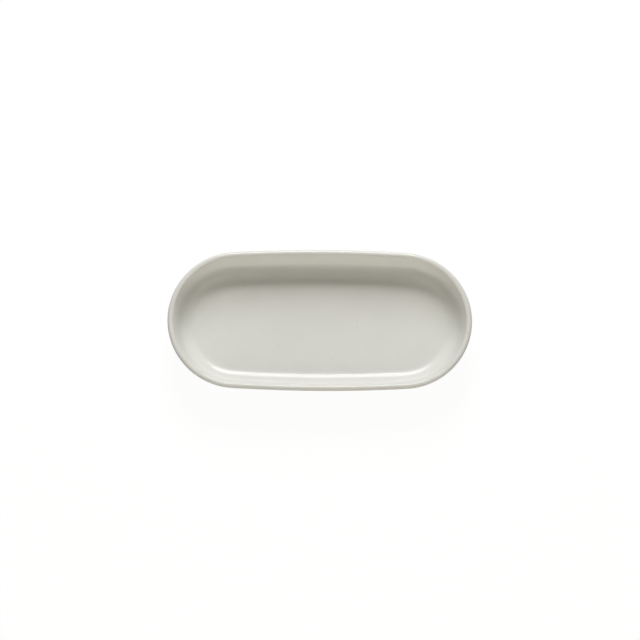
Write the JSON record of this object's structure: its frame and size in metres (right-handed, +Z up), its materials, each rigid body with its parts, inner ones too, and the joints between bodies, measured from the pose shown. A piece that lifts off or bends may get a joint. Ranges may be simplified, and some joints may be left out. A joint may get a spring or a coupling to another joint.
{
  "type": "asparagus plate",
  "caption": "Oblong glazed stoneware plate with round ends, a flat floor, a steep wall with a rounded lip and a low foot ring, for serving asparagus or other long food.",
  "frame": {"origin": "on the ground under the middle of the plate, in the plane of the foot ring's face", "axes": "+X along the plate's length, +Y across it, +Z up out of the well"},
  "size_m": [0.29, 0.1374, 0.0372],
  "materials": {
    "bare_clay": "dry fired stoneware",
    "white_glaze": "glossy warm white glaze"
  },
  "bodies": {
    "root": {"stoneware_body": "bare_clay", "inner_glaze": "white_glaze", "outer_glaze": "white_glaze", "base_glaze": "white_glaze"}
  },
  "joints": []
}
